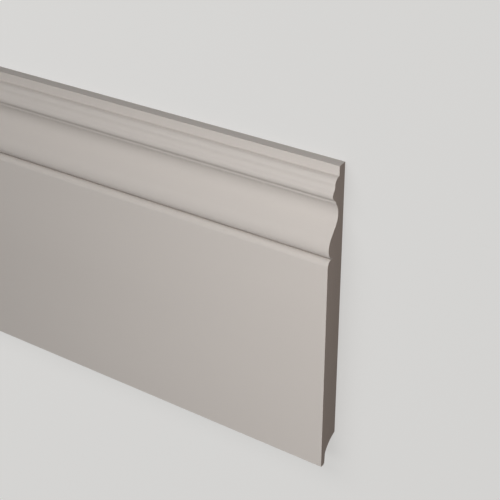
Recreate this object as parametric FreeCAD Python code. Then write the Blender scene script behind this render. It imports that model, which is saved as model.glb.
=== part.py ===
"""Skirting board length: one extruded piece of hard white polymer trim.

The board lies on its flat back. X runs along its length, Y from the foot edge to
the moulded top edge, and Z out of the moulded face. The origin is the middle of
the back. All sizes are in millimetres. A drop is measured down the board, from
the top edge towards the foot, and a reach or a return out from the back or in.
"""

import FreeCAD
import Part

import math
import os

# Overall sizes
LENGTH = 2000.0
HEIGHT = 200.0
THICKNESS = 15.0

# Top edge, which falls a little to the front, and the plain band below it
TOP_SET_BACK = 9.15
TOP_FALL = 0.55
TOP_ARRIS = 0.2
TOP_BAND = 6.0

# Step out of the band: a tiny cove, a small ovolo and the narrow ledge under it
STEP_COVE = 0.65
OVOLO_DROP = 3.95
OVOLO_REACH = 3.45
LEDGE = 0.4

# Hollow that swells into a bead, the bead's steep soffit and the narrow listel under it
HOLLOW_DROP = 3.6
HOLLOW_REACH = 1.35
BEAD_REACH = 0.68
BEAD_DROP = 3.2
BEAD_RETURN = 1.7
SOFFIT_DROP = 1.6
SOFFIT_RETURN = 1.8
LISTEL = 1.2
LISTEL_LEAN = 0.15

# Deep cove, and the large ogee that runs from it out to the nose
COVE_DROP = 7.0
COVE_RETURN = 2.65
RAMP_DROP = 19.8
RAMP_ANGLE = 35.8
NOSE_SET_BACK = 0.4
NOSE_DROP = 6.2

# Groove with a narrow quirk at its bottom, and the round arris over the flat face
GROOVE_DEPTH = 3.4
QUIRK_DEPTH = 1.3
QUIRK_WIDTH = 0.6
FACE_ARRIS_DROP = 3.9
FOOT_ARRIS = 0.6

# Cable recess along the foot of the back, and the lip that hides it
RECESS_HEIGHT = 17.8
RECESS_RADIUS = 19.0
LIP_HEIGHT = 8.0
LIP_THICKNESS = 4.3
LIP_TAPER = 0.4
LIP_CHAMFER = 1.0


def place(point):
    """A point of the section, on the end of the board that is sawn first."""
    height, depth = point
    return FreeCAD.Vector(-LENGTH / 2, height - HEIGHT / 2, depth)


class Outline:
    """The section's outline, drawn on from point to point.

    A point is its height above the foot and its depth out from the back.
    """

    def __init__(self, height, depth):
        self.start = self.here = (height, depth)
        self.edges = []

    def line_to(self, height, depth):
        end = (height, depth)
        self.edges.append(Part.LineSegment(place(self.here), place(end)).toShape())
        self.here = end

    def line(self, drop, reach):
        self.line_to(self.here[0] - drop, self.here[1] + reach)

    def arc(self, middle, end):
        self.edges.append(Part.Arc(place(self.here), place(middle), place(end)).toShape())
        self.here = end

    def leave(self, drop, reach):
        """A round that starts along the face and turns out, or in, as it drops."""
        end = (self.here[0] - drop, self.here[1] + reach)
        self.arc(halfway(self.here, end), end)

    def arrive(self, drop, reach):
        """A round that turns as it drops, until it ends along the face."""
        end = (self.here[0] - drop, self.here[1] + reach)
        self.arc(halfway(end, self.here), end)

    def hollow_to(self, height, depth, radius):
        """A round of this radius, hollowed into the board."""
        end = (height, depth)
        rise, reach = end[0] - self.here[0], end[1] - self.here[1]
        chord = math.hypot(rise, reach)
        bow = radius - math.sqrt(radius**2 - chord**2 / 4)
        middle = (
            (self.here[0] + end[0]) / 2 - bow * reach / chord,
            (self.here[1] + end[1]) / 2 + bow * rise / chord,
        )
        self.arc(middle, end)

    def close(self):
        self.line_to(*self.start)
        return Part.Face(Part.Wire(self.edges))


def halfway(crest, end):
    """The middle of the round that lies along the face at its crest."""
    rise, reach = end[0] - crest[0], end[1] - crest[1]
    radius = (rise**2 + reach**2) / (2 * abs(reach))
    half_turn = math.atan2(abs(rise), radius - abs(reach)) / 2
    return (
        crest[0] + math.copysign(radius * math.sin(half_turn), rise),
        crest[1] + math.copysign(radius * (1 - math.cos(half_turn)), reach),
    )


def draw_top_moulding(outline):
    """The band, ovolo, hollow, bead, soffit and listel."""
    outline.line(TOP_FALL, THICKNESS - TOP_SET_BACK - TOP_ARRIS)
    outline.arrive(TOP_ARRIS, TOP_ARRIS)
    outline.line(TOP_BAND - TOP_FALL - TOP_ARRIS, 0)
    outline.leave(STEP_COVE, STEP_COVE)
    outline.arrive(OVOLO_DROP, OVOLO_REACH)
    outline.line(LEDGE, 0)
    outline.leave(HOLLOW_DROP, HOLLOW_REACH)
    # The same proportion as the hollow's lets the bead run on from it with no corner
    outline.arrive(BEAD_REACH * HOLLOW_DROP / HOLLOW_REACH, BEAD_REACH)
    outline.leave(BEAD_DROP, -BEAD_RETURN)
    outline.line(SOFFIT_DROP, -SOFFIT_RETURN)
    outline.line(LISTEL, -LISTEL_LEAN)


def draw_cove_and_nose(outline):
    """The deep cove, the straight ramp between two equal rounds, and the nose."""
    outline.arrive(COVE_DROP, -COVE_RETURN)
    ramp_reach = THICKNESS - NOSE_SET_BACK - outline.here[1]
    angle = math.radians(RAMP_ANGLE)
    radius = (RAMP_DROP * math.tan(angle) - ramp_reach) / (2 / math.cos(angle) - 2)
    round_drop = radius * math.sin(angle)
    round_reach = radius * (1 - math.cos(angle))
    outline.leave(round_drop, round_reach)
    outline.line(RAMP_DROP - 2 * round_drop, ramp_reach - 2 * round_reach)
    outline.arrive(round_drop, round_reach)
    outline.leave(NOSE_DROP, NOSE_SET_BACK - GROOVE_DEPTH)


def draw_groove_and_face(outline):
    """The groove and its quirk, the round arris, and the flat face to the foot."""
    outline.line(0, -QUIRK_DEPTH)
    outline.line(QUIRK_WIDTH, 0)
    outline.line(0, QUIRK_DEPTH)
    outline.arrive(FACE_ARRIS_DROP, GROOVE_DEPTH)
    outline.line_to(FOOT_ARRIS, THICKNESS)
    outline.leave(FOOT_ARRIS, -FOOT_ARRIS)


def draw_recess(outline):
    """The back of the lip, and the hollow that leads from it to the flat back."""
    lip_back = THICKNESS - LIP_THICKNESS
    lip_foot = lip_back + LIP_TAPER
    outline.line_to(0, lip_foot + LIP_CHAMFER)
    outline.line_to(LIP_CHAMFER, lip_foot)
    outline.line_to(LIP_HEIGHT, lip_back)
    outline.hollow_to(RECESS_HEIGHT, 0, RECESS_RADIUS)


def make_skirting_board():
    outline = Outline(HEIGHT, 0)
    draw_top_moulding(outline)
    draw_cove_and_nose(outline)
    draw_groove_and_face(outline)
    draw_recess(outline)
    return outline.close().extrude(FreeCAD.Vector(LENGTH, 0, 0))


os.makedirs("parts", exist_ok=True)
make_skirting_board().exportStep("parts/skirting_board.step")
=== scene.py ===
"""The looks of a skirting board length: a long extruded moulding of hard white polymer.

The board lies on its flat back on a pale floor. X runs along it, Y from the foot
edge to the moulded top edge, and Z out of the moulded face. Sizes are in metres.
"""

import math

import bmesh
import bpy
from bpy.props import FloatProperty, PointerProperty, StringProperty
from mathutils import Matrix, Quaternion, Vector


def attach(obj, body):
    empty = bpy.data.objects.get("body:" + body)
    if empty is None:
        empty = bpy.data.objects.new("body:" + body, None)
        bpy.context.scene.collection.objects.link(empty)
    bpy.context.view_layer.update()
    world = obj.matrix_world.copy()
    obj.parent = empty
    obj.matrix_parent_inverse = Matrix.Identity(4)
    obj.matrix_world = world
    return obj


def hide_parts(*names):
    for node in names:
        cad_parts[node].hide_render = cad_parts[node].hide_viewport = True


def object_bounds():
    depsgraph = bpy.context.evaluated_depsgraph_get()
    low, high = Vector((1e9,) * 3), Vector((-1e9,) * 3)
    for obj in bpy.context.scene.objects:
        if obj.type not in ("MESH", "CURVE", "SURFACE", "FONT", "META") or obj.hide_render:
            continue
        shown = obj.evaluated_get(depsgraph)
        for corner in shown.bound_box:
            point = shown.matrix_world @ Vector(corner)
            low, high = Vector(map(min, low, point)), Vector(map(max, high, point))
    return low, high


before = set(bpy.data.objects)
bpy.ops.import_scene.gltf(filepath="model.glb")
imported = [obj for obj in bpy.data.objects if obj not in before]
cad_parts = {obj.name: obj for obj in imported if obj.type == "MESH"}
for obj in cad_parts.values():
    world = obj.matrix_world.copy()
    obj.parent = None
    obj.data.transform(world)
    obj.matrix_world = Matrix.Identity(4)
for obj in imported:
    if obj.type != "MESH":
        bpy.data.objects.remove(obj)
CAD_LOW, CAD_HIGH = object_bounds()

bl_info = {
    "name": "Skirting Board Length",
    "version": (1, 0, 0),
    "blender": (4, 5, 0),
    "location": "View3D > Sidebar > Skirting",
    "description": "Models a moulded skirting board length and the stage that it lies on",
    "category": "Add Mesh",
}

MM = 0.001
ACROSS = Vector((1, 0, 0))
# Points of the section that lie closer than this are one point
SAME_POINT = 0.001 * MM
LEAST_FACETS = 2

# The finishes, in the order of the board's material slots
PRIMED, BARE, SAWN = range(3)
# Least size of a face normal's share along an axis, for a face that mostly, squarely or
# barely faces that way
MOSTLY = 0.5
SQUARELY = 0.9
BARELY = 0.01

POLYSTYRENE_IOR = 1.5
# How often the die lines change over a metre of the board's length
PRIMED_LINE_CHANGES = 1.5
BARE_LINE_CHANGES = 0.8
# The sprayer's passes draw the primer's clouds out along the board
CLOUD_ACROSS_ALONG = 0.3

FLOOR_REACH = 60.0
SENSOR_WIDTH_MM = 36.0
NEAR_CLIP = 0.01
FAR_CLIP = 200.0


def distance(name, millimetres, description):
    return FloatProperty(
        name=name,
        description=description,
        default=millimetres * MM,
        precision=5,
        unit="LENGTH",
        subtype="DISTANCE",
    )


def angle(name, degrees, description):
    return FloatProperty(
        name=name, description=description, default=math.radians(degrees), subtype="ANGLE"
    )


def share(name, value, description):
    return FloatProperty(name=name, description=description, default=value, min=0, max=1)


def power(name, watts, description):
    return FloatProperty(name=name, description=description, default=watts, min=0, unit="POWER")


def hex_colour(name, value, description):
    return StringProperty(name=name, description=description, default=value)


class SkirtingBoardSizes(bpy.types.PropertyGroup):
    """The sizes of the board's section, from the top edge down to the foot"""

    top_set_back: distance("Top set-back", 9.15, "How far the top band lies behind the flat face")
    top_fall: distance("Top fall", 0.55, "How far the top edge falls to its front corner")
    top_arris: distance("Top arris", 0.2, "Round on the front corner of the top edge")
    top_band: distance("Top band", 6.0, "Height of the plain band along the top edge")
    step_cove: distance("Step cove", 0.65, "Radius of the tiny cove under the band")
    ovolo_drop: distance("Ovolo height", 3.95, "Height of the small ovolo")
    ovolo_reach: distance("Ovolo reach", 3.45, "How far the ovolo comes out")
    ledge: distance("Ledge", 0.4, "Height of the narrow ledge under the ovolo")
    hollow_drop: distance("Hollow height", 3.6, "Height of the hollow over the bead")
    hollow_reach: distance("Hollow reach", 1.35, "How far the hollow comes out")
    bead_reach: distance("Bead reach", 0.68, "How far the bead comes out from the hollow")
    bead_drop: distance("Bead height", 3.2, "Height of the bead below its crest")
    bead_return: distance("Bead return", 1.7, "How far the bead turns back in")
    soffit_drop: distance("Soffit height", 1.6, "Height of the steep soffit under the bead")
    soffit_return: distance("Soffit return", 1.8, "How far the soffit goes in")
    listel: distance("Listel", 1.2, "Height of the narrow band under the soffit")
    listel_lean: distance("Listel lean", 0.15, "How far the listel leans in")
    cove_drop: distance("Cove height", 7.0, "Height of the cove above its deepest line")
    cove_return: distance("Cove depth", 2.65, "How far the cove goes in from the listel")
    ramp_drop: distance("Ramp height", 19.8, "Height from the cove's deepest line to the nose")
    ramp_angle: angle("Ramp angle", 35.8, "How far the ramp leans out from the board's height")
    nose_set_back: distance("Nose set-back", 0.4, "How far the nose lies behind the flat face")
    nose_drop: distance("Nose height", 6.2, "Height of the nose below its crest")
    groove_depth: distance("Groove depth", 3.4, "Depth of the groove's rounds from the flat face")
    quirk_depth: distance("Quirk depth", 1.3, "Depth of the narrow quirk at the groove's bottom")
    quirk_width: distance("Quirk width", 0.6, "Width of the narrow quirk")
    face_arris_drop: distance("Face arris", 3.9, "Height of the round arris over the flat face")
    foot_arris: distance("Foot arris", 0.6, "Round on the front corner of the foot")
    recess_height: distance("Recess height", 17.8, "Height of the cable recess at the back")
    recess_radius: distance("Recess radius", 19.0, "Radius of the cable recess's hollow")
    lip_height: distance("Lip height", 8.0, "Height of the lip in front of the cable recess")
    lip_thickness: distance("Lip thickness", 4.3, "Thickness of the lip where the hollow meets it")
    lip_taper: distance("Lip taper", 0.4, "How much thinner the lip is at its foot")
    lip_chamfer: distance("Lip chamfer", 1.0, "Chamfer on the back corner of the foot")
    saw_arris: distance("Saw arris", 0.15, "Broken edge around each sawn end")
    facet: angle("Facet", 4.0, "The turn of one facet of a round")
    crease: angle("Crease", 15.0, "The least turn between two faces that shades as a corner")


class SkirtingBoardFinish(bpy.types.PropertyGroup):
    """The colours and surface detail of the board"""

    primer: hex_colour("Primer", "#C6BFB9", "Factory primer on the face, the edges and the foot")
    primer_shade: hex_colour("Primer shade", "#C1BAB4", "Primer where it went on a little thinner")
    bare: hex_colour("Bare polymer", "#CAC4BA", "Unprimed polymer on the back and in the recess")
    bare_shade: hex_colour("Bare polymer shade", "#C1BAAF", "Unprimed polymer between die lines")
    # The sawn colours are partly the cut polymer's own warmer tone and partly painted shade: they
    # are darker and warmer to stand in for the shade and warm bounce light on the sawn end
    sawn: hex_colour("Sawn polymer", "#C6B6AB", "Cut ends, a little warmer than the primer")
    sawn_shade: hex_colour("Sawn polymer shade", "#B8A89D", "Opened cells and saw marks")
    primer_smooth: share("Primer, smoothest", 0.5, "Roughness where the primer is smoothest")
    primer_rough: share("Primer, roughest", 0.62, "Roughness where the primer is roughest")
    bare_smooth: share("Bare polymer, smoothest", 0.36, "Roughness of the smoothest bare spots")
    bare_rough: share("Bare polymer, roughest", 0.5, "Roughness of the roughest bare spots")
    sawn_smooth: share("Sawn polymer, smoothest", 0.7, "Roughness of the smoothest sawn spots")
    sawn_rough: share("Sawn polymer, roughest", 0.9, "Roughness of the roughest sawn spots")
    die_line: distance("Die line spacing", 1.6, "Spacing of the faint lines from the die")
    line_relief: distance("Die line relief", 0.02, "Depth of the die lines under the primer")
    bare_line: distance("Bare line spacing", 2.0, "Spacing of the die lines on bare polymer")
    bare_relief: distance("Bare line relief", 0.05, "Depth of the die lines on bare polymer")
    peel: distance("Peel", 1.1, "Grain of the primer's faint orange peel")
    peel_relief: distance("Peel relief", 0.012, "Depth of the orange peel")
    cloud: distance("Cloud", 70.0, "Size of the soft changes of tone in the primer")
    saw_mark: distance("Saw mark spacing", 0.9, "Spacing of the marks of the saw's teeth")
    saw_radius: distance("Saw radius", 150.0, "Radius of the saw blade that cut the ends")
    cell: distance("Cell", 0.35, "Size of the polymer's fine cells, as a cut opens them")
    cell_share: share("Cell share", 0.55, "How much the cells show, against the saw marks")
    saw_relief: distance("Saw relief", 0.06, "Depth of the saw marks and the open cells")


class SkirtingBoardStage(bpy.types.PropertyGroup):
    """The floor, the light and the camera"""

    floor: hex_colour("Floor", "#F0EFED", "Pale floor, as the camera sees it")
    floor_glow: share("Floor glow", 0.6, "Share of the floor's tone that doesn't need the lamps")
    floor_bounce: share("Floor bounce", 0.2, "How much light the floor throws back on the board")
    fade_start: distance("Fade start", 1200, "Distance at which the floor starts to fade")
    fade_end: distance("Fade end", 7000, "Distance at which the floor is one with the backdrop")
    room: share("Room light", 0.126, "Level of the even light from all round")
    lamp_distance: distance("Lamp distance", 2200, "From the board to each long light")
    long_width: distance("Long lights' length", 2600, "Length of each long light's softbox")
    long_depth: distance("Long lights' depth", 1000, "Depth of each long light's softbox")
    overhead_light: power("Overhead light", 9.9, "The long light straight over the board")
    edge_light: power("Edge light", 16.7, "The long light that leans towards the moulded top edge")
    edge_lean: angle("Edge light's lean", 50, "How far the edge light leans from overhead")
    near_inset: distance("Near lights' inset", -90, "From the right end in to the near lights")
    low_depth: distance("Low lights' depth", 300, "Depth of the near and along lights' softboxes")
    top_light: power("Top light", 0.64, "The small light off the top corner of the right end")
    top_rise: distance("Top light's rise", 250, "From the middle of the board to the top light")
    top_height: distance("Top light's height", 300, "From the floor to the top light")
    foot_light: power("Foot light", 0.46, "The small light over the foot corner of the right end")
    foot_rise: distance("Foot light's rise", -80, "From the middle of the board to the foot light")
    foot_height: distance("Foot light's height", 380, "From the floor to the foot light")
    along_light: power("Along light", 0.75, "The low light over the rest of the board")
    along_inset: distance("Along light's inset", 1400, "From the right end in to the along light")
    along_width: distance("Along light's length", 1200, "Length of the along light's softbox")
    along_rise: distance("Along light's rise", 120, "From the board's middle to the along light")
    along_height: distance("Along light's height", 450, "From the floor to the along light")
    fill_light: power("Fill light", 7.5, "The long low light on the foot edge")
    fill_depth: distance("Fill light's depth", 150, "Depth of the fill light's softbox")
    fill_away: distance("Fill light's distance", 1300, "From the board's middle to the fill light")
    fill_height: distance("Fill light's height", 100, "From the floor to the fill light")
    lens: distance("Lens", 89.42, "Focal length of the camera")
    camera_distance: distance("Camera distance", 723.4, "From the camera to where it aims")
    aim_inset: distance("Aim inset", 52.9, "From the right end to where the camera aims")
    aim_rise: distance("Aim rise", 35.4, "From the middle of the face up to where the camera aims")
    azimuth: angle("Azimuth", 43.75, "Way to the camera, turned from the board's length to its top")
    elevation: angle("Elevation", 46.14, "Way to the camera, over the floor")
    roll: angle("Roll", 124.64, "Turn of the camera about its own line of sight")


def linear(hex_value):
    """The linear colour, with alpha, of an sRGB hex value."""
    channels = [int(hex_value[i : i + 2], 16) / 255 for i in (1, 3, 5)]
    return [c / 12.92 if c <= 0.04045 else ((c + 0.055) / 1.055) ** 2.4 for c in channels] + [1.0]


def add_node(tree, kind, inputs=(), **settings):
    """Adds a node, sets its own settings, and sets or links its inputs by name or number."""
    node = tree.nodes.new(kind)
    for name, value in settings.items():
        setattr(node, name, value)
    for socket, value in dict(inputs).items():
        if isinstance(value, bpy.types.NodeSocket):
            tree.links.new(value, node.inputs[socket])
        else:
            node.inputs[socket].default_value = value
    return node


def new_material(name):
    material = bpy.data.materials.new(name)
    material.use_nodes = True
    material.node_tree.nodes.clear()
    return material, material.node_tree


def finish_polymer(tree, colour, roughness, bump):
    """Ends a polymer material: polystyrene's index, no metal, and its bump."""
    shader = add_node(
        tree,
        "ShaderNodeBsdfPrincipled",
        {
            "Base Color": colour,
            "Roughness": roughness,
            "IOR": POLYSTYRENE_IOR,
            "Normal": bump,
        },
    )
    add_node(tree, "ShaderNodeOutputMaterial", {"Surface": shader.outputs["BSDF"]})


def make_primed_polymer(finish):
    """Extruded high-density polystyrene with a sprayed matt primer.

    The die leaves faint lines along the length, and the primer a fine orange peel.
    To the eye it is an even, soft, warm grey-white with hardly any shine.
    """
    material, tree = new_material("matt_primed_extruded_polystyrene")
    place = add_node(tree, "ShaderNodeTexCoord").outputs["Object"]
    # The lines run nearly the whole length, so the pattern is stretched along X
    per_line = 1 / finish.die_line
    along = add_node(
        tree,
        "ShaderNodeMapping",
        {"Vector": place, "Scale": (PRIMED_LINE_CHANGES, per_line, per_line)},
    )
    lines = add_node(
        tree,
        "ShaderNodeTexNoise",
        {"Vector": along.outputs["Vector"], "Scale": 1.0, "Detail": 2.0, "Roughness": 0.5},
    )
    peel = add_node(
        tree,
        "ShaderNodeTexNoise",
        {"Vector": place, "Scale": 1 / finish.peel, "Detail": 2.0, "Roughness": 0.4},
    )
    per_cloud = 1 / finish.cloud
    drift = add_node(
        tree,
        "ShaderNodeMapping",
        {"Vector": place, "Scale": (CLOUD_ACROSS_ALONG * per_cloud, per_cloud, per_cloud)},
    )
    cloud = add_node(
        tree,
        "ShaderNodeTexNoise",
        {"Vector": drift.outputs["Vector"], "Scale": 1.0, "Detail": 3.0, "Roughness": 0.55},
    )
    tone = add_node(
        tree,
        "ShaderNodeMix",
        {
            "Factor": cloud.outputs["Fac"],
            "A": linear(finish.primer),
            "B": linear(finish.primer_shade),
        },
        data_type="RGBA",
    )
    gloss = add_node(
        tree,
        "ShaderNodeMapRange",
        {
            "Value": peel.outputs["Fac"],
            "To Min": finish.primer_smooth,
            "To Max": finish.primer_rough,
        },
    )
    line_bump = add_node(
        tree,
        "ShaderNodeBump",
        {"Height": lines.outputs["Fac"], "Distance": finish.line_relief, "Strength": 1.0},
    )
    peel_bump = add_node(
        tree,
        "ShaderNodeBump",
        {
            "Height": peel.outputs["Fac"],
            "Distance": finish.peel_relief,
            "Strength": 1.0,
            "Normal": line_bump.outputs["Normal"],
        },
    )
    finish_polymer(
        tree, tone.outputs["Result"], gloss.outputs["Result"], peel_bump.outputs["Normal"]
    )
    return material


def make_bare_polymer(finish):
    """Extruded high-density polystyrene as it leaves the die, with no primer.

    The die's lines show more than under the primer, and it shines a little more.
    """
    material, tree = new_material("bare_extruded_polystyrene")
    place = add_node(tree, "ShaderNodeTexCoord").outputs["Object"]
    per_line = 1 / finish.bare_line
    along = add_node(
        tree,
        "ShaderNodeMapping",
        {"Vector": place, "Scale": (BARE_LINE_CHANGES, per_line, per_line)},
    )
    lines = add_node(
        tree,
        "ShaderNodeTexNoise",
        {"Vector": along.outputs["Vector"], "Scale": 1.0, "Detail": 4.0, "Roughness": 0.6},
    )
    tone = add_node(
        tree,
        "ShaderNodeMix",
        {
            "Factor": lines.outputs["Fac"],
            "A": linear(finish.bare),
            "B": linear(finish.bare_shade),
        },
        data_type="RGBA",
    )
    gloss = add_node(
        tree,
        "ShaderNodeMapRange",
        {
            "Value": lines.outputs["Fac"],
            "To Min": finish.bare_smooth,
            "To Max": finish.bare_rough,
        },
    )
    bump = add_node(
        tree,
        "ShaderNodeBump",
        {"Height": lines.outputs["Fac"], "Distance": finish.bare_relief, "Strength": 1.0},
    )
    finish_polymer(tree, tone.outputs["Result"], gloss.outputs["Result"], bump.outputs["Normal"])
    return material


def make_sawn_polymer(finish):
    """Fine-celled polystyrene, cut square with a fine-toothed circular saw.

    The blade leaves shallow arcs of its own radius, and opens the cells, so the
    end is rough, with no shine. Marks and cells are drawn coarse enough to show.
    """
    material, tree = new_material("sawn_fine_celled_polystyrene")
    place = add_node(tree, "ShaderNodeTexCoord").outputs["Object"]
    # The blade's middle lies out beyond the moulded face
    from_hub = add_node(
        tree,
        "ShaderNodeMapping",
        {"Vector": place, "Location": (0.0, 0.0, -finish.saw_radius), "Scale": (0.0, 1.0, 1.0)},
    )
    hub_distance = add_node(
        tree, "ShaderNodeVectorMath", {0: from_hub.outputs["Vector"]}, operation="LENGTH"
    )
    mark_count = add_node(
        tree,
        "ShaderNodeMath",
        {0: hub_distance.outputs["Value"], 1: 1 / finish.saw_mark},
        operation="MULTIPLY",
    )
    marks = add_node(
        tree,
        "ShaderNodeTexNoise",
        {"W": mark_count.outputs["Value"], "Scale": 1.0, "Detail": 2.0},
        noise_dimensions="1D",
    )
    cells = add_node(
        tree,
        "ShaderNodeTexNoise",
        {"Vector": place, "Scale": 1 / finish.cell, "Detail": 2.0, "Roughness": 0.5},
    )
    both = add_node(
        tree,
        "ShaderNodeMix",
        {"Factor": finish.cell_share, "A": marks.outputs["Fac"], "B": cells.outputs["Fac"]},
        data_type="FLOAT",
    )
    # Partly the cut polymer's own warmer tone, partly painted shade and warm bounce light: both
    # sawn colours are darker and warmer than the primer
    tone = add_node(
        tree,
        "ShaderNodeMix",
        {
            "Factor": both.outputs["Result"],
            "A": linear(finish.sawn),
            "B": linear(finish.sawn_shade),
        },
        data_type="RGBA",
    )
    gloss = add_node(
        tree,
        "ShaderNodeMapRange",
        {
            "Value": cells.outputs["Fac"],
            "To Min": finish.sawn_smooth,
            "To Max": finish.sawn_rough,
        },
    )
    bump = add_node(
        tree,
        "ShaderNodeBump",
        {"Height": both.outputs["Result"], "Distance": finish.saw_relief, "Strength": 1.0},
    )
    finish_polymer(tree, tone.outputs["Result"], gloss.outputs["Result"], bump.outputs["Normal"])
    return material


class SectionPen:
    """Draws the section at one end of the board, from point to point.

    Its tip is a vertex, which is extruded to draw a line and spun to draw a round.
    A drop is measured down the board, and a reach out from its back.
    """

    def __init__(self, mesh, start, facet):
        self.mesh = mesh
        self.facet = facet
        self.tip = bmesh.ops.create_vert(mesh, co=start)["vert"][0]

    def line(self, drop, reach):
        self.tip = bmesh.ops.extrude_vert_indiv(self.mesh, verts=[self.tip])["verts"][0]
        bmesh.ops.translate(self.mesh, verts=[self.tip], vec=(0, -drop, reach))

    def line_to(self, y, z):
        self.line(self.tip.co.y - y, z - self.tip.co.z)

    def spin(self, centre, turn):
        spun = bmesh.ops.spin(
            self.mesh,
            geom=[self.tip],
            cent=centre,
            axis=ACROSS,
            angle=turn,
            steps=max(LEAST_FACETS, math.ceil(abs(turn) / self.facet)),
        )
        self.tip = next(v for v in spun["geom_last"] if isinstance(v, bmesh.types.BMVert))

    def leave(self, drop, reach):
        """A round that starts along the face and turns out, or in, as it drops."""
        radius = (drop**2 + reach**2) / (2 * abs(reach))
        centre = self.tip.co + Vector((0, 0, math.copysign(radius, reach)))
        self.spin(centre, -math.copysign(math.atan2(drop, radius - abs(reach)), reach))

    def arrive(self, drop, reach):
        """A round that turns as it drops, until it ends along the face."""
        radius = (drop**2 + reach**2) / (2 * abs(reach))
        centre = self.tip.co + Vector((0, -drop, reach - math.copysign(radius, reach)))
        self.spin(centre, math.copysign(math.atan2(drop, radius - abs(reach)), reach))

    def hollow_to(self, y, z, radius):
        """A round of this radius, hollowed into the board."""
        end = Vector((self.tip.co.x, y, z))
        half_chord = (end - self.tip.co) / 2
        foot = self.tip.co + half_chord
        sink = math.sqrt(radius**2 - half_chord.length**2)
        centre = foot + half_chord.cross(ACROSS).normalized() * sink
        self.spin(centre, -2 * math.asin(half_chord.length / radius))

    def close(self):
        """Joins the last point to the first, and fills the outline."""
        bmesh.ops.remove_doubles(self.mesh, verts=self.mesh.verts[:], dist=SAME_POINT)
        return bmesh.ops.contextual_create(self.mesh, geom=self.mesh.edges[:])["faces"][0]


def draw_top_moulding(pen, sizes, thickness):
    """The band, ovolo, hollow, bead, soffit and listel."""
    pen.line(sizes.top_fall, thickness - sizes.top_set_back - sizes.top_arris)
    pen.arrive(sizes.top_arris, sizes.top_arris)
    pen.line(sizes.top_band - sizes.top_fall - sizes.top_arris, 0)
    pen.leave(sizes.step_cove, sizes.step_cove)
    pen.arrive(sizes.ovolo_drop, sizes.ovolo_reach)
    pen.line(sizes.ledge, 0)
    pen.leave(sizes.hollow_drop, sizes.hollow_reach)
    # The same proportion as the hollow's lets the bead run on from it with no corner
    pen.arrive(sizes.bead_reach * sizes.hollow_drop / sizes.hollow_reach, sizes.bead_reach)
    pen.leave(sizes.bead_drop, -sizes.bead_return)
    pen.line(sizes.soffit_drop, -sizes.soffit_return)
    pen.line(sizes.listel, -sizes.listel_lean)


def draw_cove_and_nose(pen, sizes, thickness):
    """The deep cove, the straight ramp between two equal rounds, and the nose."""
    pen.arrive(sizes.cove_drop, -sizes.cove_return)
    reach = thickness - sizes.nose_set_back - pen.tip.co.z
    lean = sizes.ramp_angle
    radius = (sizes.ramp_drop * math.tan(lean) - reach) / (2 / math.cos(lean) - 2)
    round_drop = radius * math.sin(lean)
    round_reach = radius * (1 - math.cos(lean))
    pen.leave(round_drop, round_reach)
    pen.line(sizes.ramp_drop - 2 * round_drop, reach - 2 * round_reach)
    pen.arrive(round_drop, round_reach)
    pen.leave(sizes.nose_drop, sizes.nose_set_back - sizes.groove_depth)


def draw_groove_face_and_foot(pen, sizes, thickness):
    """The groove and its quirk, the flat face, the foot, and the recess behind it."""
    foot = CAD_LOW.y
    lip_back = thickness - sizes.lip_thickness
    lip_foot = lip_back + sizes.lip_taper
    pen.line(0, -sizes.quirk_depth)
    pen.line(sizes.quirk_width, 0)
    pen.line(0, sizes.quirk_depth)
    pen.arrive(sizes.face_arris_drop, sizes.groove_depth)
    pen.line_to(foot + sizes.foot_arris, thickness)
    pen.leave(sizes.foot_arris, -sizes.foot_arris)
    pen.line_to(foot, lip_foot + sizes.lip_chamfer)
    pen.line_to(foot + sizes.lip_chamfer, lip_foot)
    pen.line_to(foot + sizes.lip_height, lip_back)
    pen.hollow_to(foot + sizes.recess_height, 0, sizes.recess_radius)


def surface_of(face, sizes):
    """The finish of a face: the ends are sawn, and the back and its recess are bare."""
    if abs(face.normal.x) > MOSTLY:
        return SAWN
    backwards = -face.normal.z
    in_recess = face.calc_center_median().y < CAD_LOW.y + sizes.recess_height
    return BARE if backwards > (BARELY if in_recess else SQUARELY) else PRIMED


def make_board(sizes, finish):
    """One length: the section, drawn at the left end and extruded to the right end."""
    thickness = CAD_HIGH.z - CAD_LOW.z
    mesh = bmesh.new()
    pen = SectionPen(mesh, (CAD_LOW.x, CAD_HIGH.y, 0), sizes.facet)
    draw_top_moulding(pen, sizes, thickness)
    draw_cove_and_nose(pen, sizes, thickness)
    draw_groove_face_and_foot(pen, sizes, thickness)
    section = pen.close()
    grown = bmesh.ops.extrude_face_region(mesh, geom=[section], use_keep_orig=True)["geom"]
    far = [v for v in grown if isinstance(v, bmesh.types.BMVert)]
    bmesh.ops.translate(mesh, verts=far, vec=(CAD_HIGH.x - CAD_LOW.x, 0, 0))
    bmesh.ops.recalc_face_normals(mesh, faces=mesh.faces[:])
    ends = [e for e in mesh.edges if len({round(f.normal.x) for f in e.link_faces}) > 1]
    bmesh.ops.bevel(
        mesh,
        geom=ends,
        offset=sizes.saw_arris,
        offset_type="OFFSET",
        affect="EDGES",
        segments=2,
        profile=0.5,
        material=-1,
    )
    bmesh.ops.recalc_face_normals(mesh, faces=mesh.faces[:])
    for face in mesh.faces:
        face.smooth = True
        face.material_index = surface_of(face, sizes)
    for edge in mesh.edges:
        edge.smooth = edge.calc_face_angle(0) < sizes.crease
    shape = bpy.data.meshes.new("skirting_board_length")
    mesh.to_mesh(shape)
    mesh.free()
    # In the order of PRIMED, BARE and SAWN
    for make in (make_primed_polymer, make_bare_polymer, make_sawn_polymer):
        shape.materials.append(make(finish))
    return shape


def add_to_scene(thing):
    bpy.context.scene.collection.objects.link(thing)
    return thing


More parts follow.
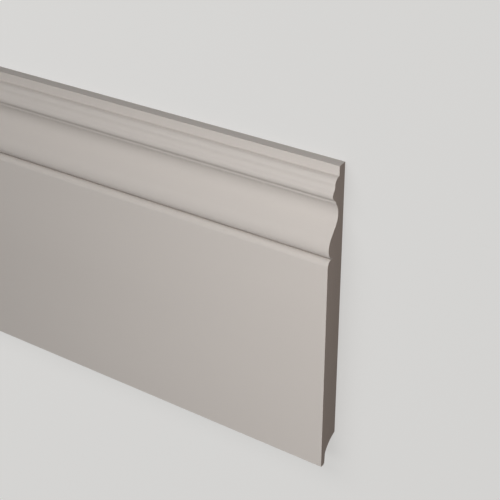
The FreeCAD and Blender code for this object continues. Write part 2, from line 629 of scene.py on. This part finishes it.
def make_floor(stage):
    """A matt painted floor: pale to the camera, and darker in the light that it throws back."""
    material, tree = new_material("pale_matt_painted_floor")
    path = add_node(tree, "ShaderNodeLightPath")
    seen = add_node(
        tree,
        "ShaderNodeMath",
        {0: path.outputs["Is Camera Ray"], 1: path.outputs["Is Glossy Ray"]},
        operation="MAXIMUM",
    )
    bounce = stage.floor_bounce
    colour = add_node(
        tree,
        "ShaderNodeMix",
        {
            "Factor": seen.outputs["Value"],
            "A": (bounce, bounce, bounce, 1.0),
            "B": linear(stage.floor),
        },
        data_type="RGBA",
    )
    paint = add_node(tree, "ShaderNodeBsdfDiffuse", {"Color": colour.outputs["Result"]})
    even = add_node(tree, "ShaderNodeEmission", {"Color": linear(stage.floor), "Strength": 1.0})
    # Away from the board the floor fades into the backdrop
    place = add_node(tree, "ShaderNodeTexCoord").outputs["Object"]
    out = add_node(tree, "ShaderNodeVectorMath", {0: place}, operation="LENGTH")
    fade = add_node(
        tree,
        "ShaderNodeMapRange",
        {
            "Value": out.outputs["Value"],
            "From Min": stage.fade_start,
            "From Max": stage.fade_end,
            "To Min": stage.floor_glow,
            "To Max": 1.0,
        },
        interpolation_type="SMOOTHSTEP",
    )
    glow = add_node(
        tree,
        "ShaderNodeMath",
        {0: seen.outputs["Value"], 1: fade.outputs["Result"]},
        operation="MULTIPLY",
    )
    surface = add_node(
        tree,
        "ShaderNodeMixShader",
        {0: glow.outputs["Value"], 1: paint.outputs["BSDF"], 2: even.outputs["Emission"]},
    )
    add_node(tree, "ShaderNodeOutputMaterial", {"Surface": surface.outputs["Shader"]})
    mesh = bmesh.new()
    bmesh.ops.create_grid(mesh, x_segments=1, y_segments=1, size=FLOOR_REACH)
    shape = bpy.data.meshes.new("studio_floor")
    mesh.to_mesh(shape)
    mesh.free()
    shape.materials.append(material)
    floor = add_to_scene(bpy.data.objects.new("studio_floor", shape))


def make_world(stage):
    """Even room light, which the camera sees as the floor's own pale tone."""
    world = bpy.data.worlds.new("studio_room")
    world.use_nodes = True
    tree = world.node_tree
    tree.nodes.clear()
    path = add_node(tree, "ShaderNodeLightPath")
    room = stage.room
    tone = add_node(
        tree,
        "ShaderNodeMix",
        {
            "Factor": path.outputs["Is Camera Ray"],
            "A": (room, room, room, 1.0),
            "B": linear(stage.floor),
        },
        data_type="RGBA",
    )
    light = add_node(
        tree, "ShaderNodeBackground", {"Color": tone.outputs["Result"], "Strength": 1.0}
    )
    add_node(tree, "ShaderNodeOutputWorld", {"Surface": light.outputs["Background"]})
    bpy.context.scene.world = world


def make_softbox(name, watts, place, target, box, lit=None):
    """A softbox, which lights everything, or only the things in the lit collection."""
    lamp = bpy.data.lights.new(name, "AREA")
    lamp.shape = "RECTANGLE"
    lamp.size, lamp.size_y = box
    lamp.energy = watts
    softbox = add_to_scene(bpy.data.objects.new(name, lamp))
    softbox.location = place
    softbox.rotation_euler = (target - place).to_track_quat("-Z", "Y").to_euler()
    softbox.visible_camera = False
    if lit:
        softbox.light_linking.receiver_collection = lit


def make_lights(stage):
    """Soft light on the face and the moulded edge, which leaves the sawn end in shade."""
    middle = Vector((0, 0, 0))
    right_end = Vector((CAD_HIGH.x, 0, 0))
    long_box = (stage.long_width, stage.long_depth)
    near_box = (stage.low_depth, stage.low_depth)
    along_box = (stage.along_width, stage.low_depth)
    fill_box = (stage.long_width, stage.fill_depth)
    overhead = Vector((0, 0, stage.lamp_distance))
    leaning = Quaternion(ACROSS, -stage.edge_lean) @ overhead
    near_top = right_end + Vector((-stage.near_inset, stage.top_rise, stage.top_height))
    near_foot = right_end + Vector((-stage.near_inset, stage.foot_rise, stage.foot_height))
    along = right_end - Vector((stage.along_inset, 0, 0))
    over_along = along + Vector((0, stage.along_rise, stage.along_height))
    make_softbox("overhead_softbox", stage.overhead_light, overhead, middle, long_box)
    make_softbox("edge_softbox", stage.edge_light, leaning, middle, long_box)
    # The low lights would leave bright patches on the floor, so they light the board alone
    board_alone = bpy.data.collections.new("lit_by_low_lights")
    if "skirting_board_length" in bpy.data.objects:
        board_alone.objects.link(bpy.data.objects["skirting_board_length"])
    make_softbox("top_softbox", stage.top_light, near_top, right_end, near_box, board_alone)
    make_softbox("foot_softbox", stage.foot_light, near_foot, right_end, near_box, board_alone)
    make_softbox("along_softbox", stage.along_light, over_along, along, along_box, board_alone)
    # The fill light lies so low that the flat face keeps it off the moulding's undersides
    fill = Vector((0, -stage.fill_away, stage.fill_height))
    make_softbox("fill_softbox", stage.fill_light, fill, middle, fill_box, board_alone)


def make_camera(stage):
    """The camera, at the angle that the board is seen from."""
    aim = Vector((CAD_HIGH.x - stage.aim_inset, stage.aim_rise, CAD_HIGH.z))
    level = math.cos(stage.elevation)
    way = Vector(
        (
            level * math.cos(stage.azimuth),
            level * math.sin(stage.azimuth),
            math.sin(stage.elevation),
        )
    )
    lens = bpy.data.cameras.new("studio_camera")
    lens.sensor_width = SENSOR_WIDTH_MM
    lens.lens = stage.lens / MM
    lens.clip_start = NEAR_CLIP
    lens.clip_end = FAR_CLIP
    camera = add_to_scene(bpy.data.objects.new("studio_camera", lens))
    camera.location = aim + way * stage.camera_distance
    facing = (-way).to_track_quat("-Z", "Y") @ Quaternion((0, 0, 1), -stage.roll)
    camera.rotation_euler = facing.to_euler()
    bpy.context.scene.camera = camera


class MESH_OT_skirting_board_length(bpy.types.Operator):
    """Models the board and gives it its finishes"""

    bl_idname = "mesh.skirting_board_length"
    bl_label = "Skirting Board Length"

    def execute(self, context):
        scene = context.scene
        shape = make_board(scene.skirting_board_sizes, scene.skirting_board_finish)
        board = add_to_scene(bpy.data.objects.new("skirting_board_length", shape))
        # Weighted normals keep the wide flats flat beside the rounds
        board.modifiers.new("weighted_normals", "WEIGHTED_NORMAL").keep_sharp = True
        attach(board, "root")
        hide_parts("skirting_board")
        return {"FINISHED"}


class SCENE_OT_skirting_board_stage(bpy.types.Operator):
    """Adds the floor, the room light, the lamps and the camera"""

    bl_idname = "scene.skirting_board_stage"
    bl_label = "Skirting Board Stage"

    def execute(self, context):
        stage = context.scene.skirting_board_stage
        make_floor(stage)
        make_world(stage)
        make_lights(stage)
        make_camera(stage)
        context.scene.view_settings.view_transform = "Standard"
        return {"FINISHED"}


class VIEW3D_PT_skirting_board(bpy.types.Panel):
    """Lists the board's operators, with their sizes and colours"""

    bl_label = "Skirting Board"
    bl_idname = "VIEW3D_PT_skirting_board"
    bl_space_type = "VIEW_3D"
    bl_region_type = "UI"
    bl_category = "Skirting"

    def draw(self, context):
        for operator, groups in PARTS.items():
            self.layout.operator(operator.bl_idname)
            for group in groups:
                values = getattr(context.scene, group)
                for name in values.bl_rna.properties.keys():
                    if name in values.__annotations__:
                        self.layout.prop(values, name)


GROUPS = {
    "skirting_board_sizes": SkirtingBoardSizes,
    "skirting_board_finish": SkirtingBoardFinish,
    "skirting_board_stage": SkirtingBoardStage,
}
PARTS = {
    MESH_OT_skirting_board_length: ("skirting_board_sizes", "skirting_board_finish"),
    SCENE_OT_skirting_board_stage: ("skirting_board_stage",),
}
CLASSES = (*GROUPS.values(), *PARTS, VIEW3D_PT_skirting_board)


def register():
    for cls in CLASSES:
        bpy.utils.register_class(cls)
    for name, group in GROUPS.items():
        setattr(bpy.types.Scene, name, PointerProperty(type=group))


def unregister():
    for name in GROUPS:
        delattr(bpy.types.Scene, name)
    for cls in reversed(CLASSES):
        bpy.utils.unregister_class(cls)


def main():
    register()
    bpy.ops.mesh.skirting_board_length()
    bpy.ops.scene.skirting_board_stage()


if __name__ == "__main__":
    main()
